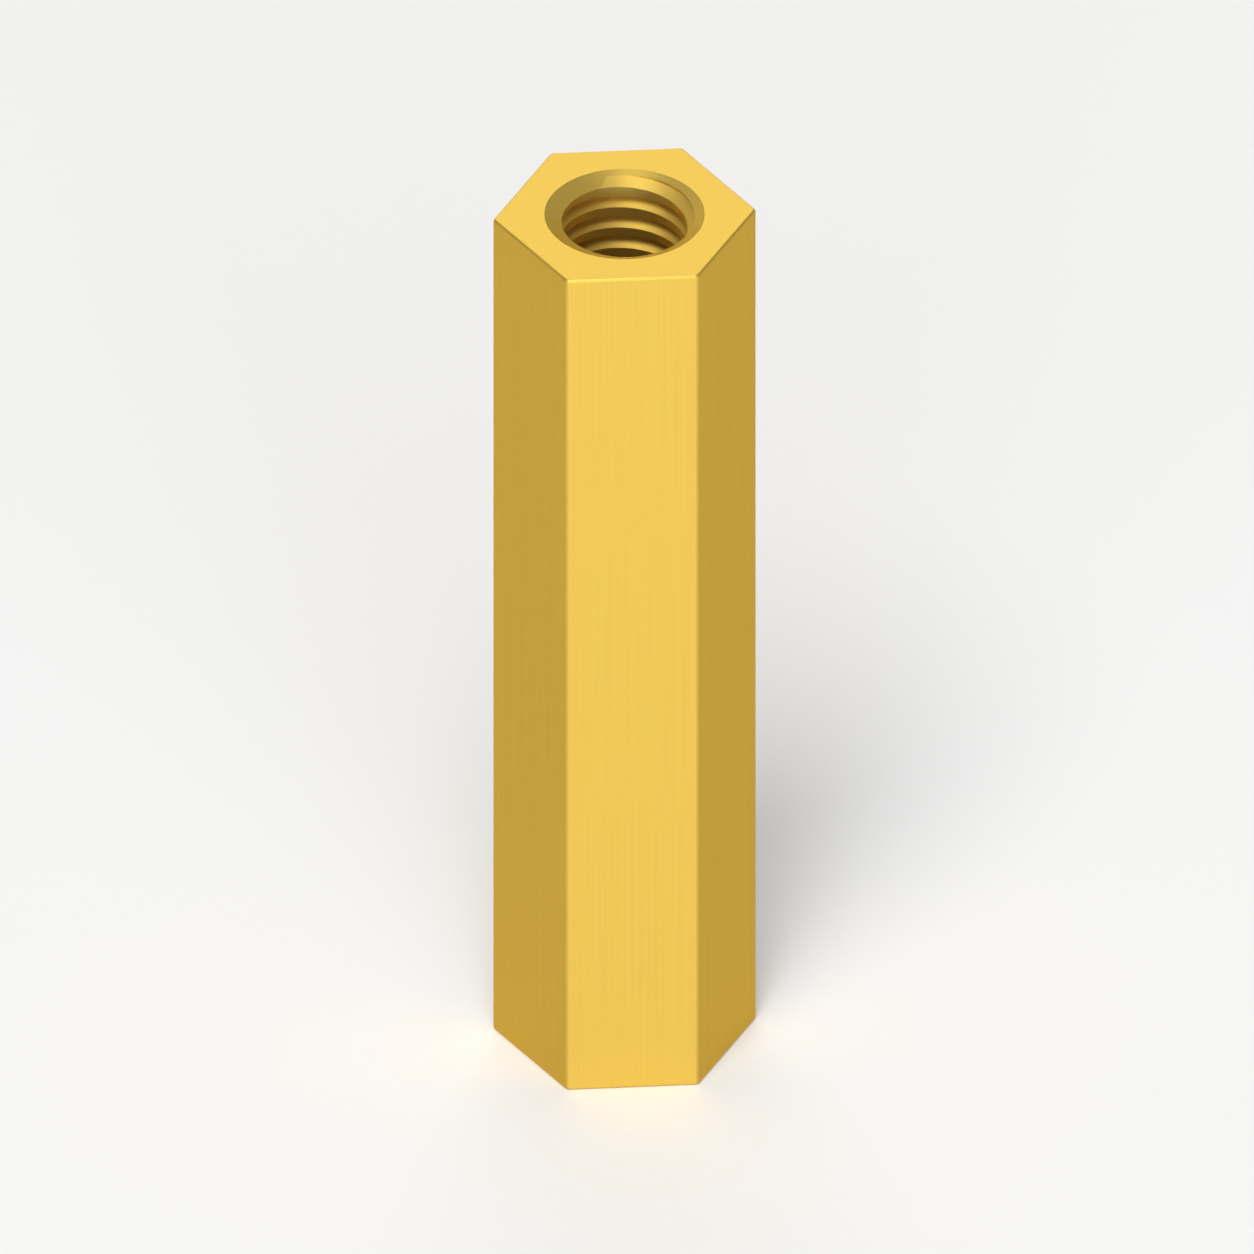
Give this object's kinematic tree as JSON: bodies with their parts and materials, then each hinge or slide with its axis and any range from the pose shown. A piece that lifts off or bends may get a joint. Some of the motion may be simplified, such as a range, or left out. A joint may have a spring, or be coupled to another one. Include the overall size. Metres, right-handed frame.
{
  "type": "hex standoff",
  "caption": "Hexagonal brass spacer with a countersunk, tapped hole in each end, for holding two boards or panels a fixed distance apart.",
  "frame": {"origin": "centre of the lower end face", "axes": "+Z along the thread axis towards the upper end face, +X through one of the six long corners, Y square to two of the flats"},
  "size_m": [0.008, 0.007, 0.03],
  "materials": {
    "brass": "drawn flats, turned end faces"
  },
  "bodies": {
    "root": {"hex_standoff": "brass"}
  },
  "joints": []
}
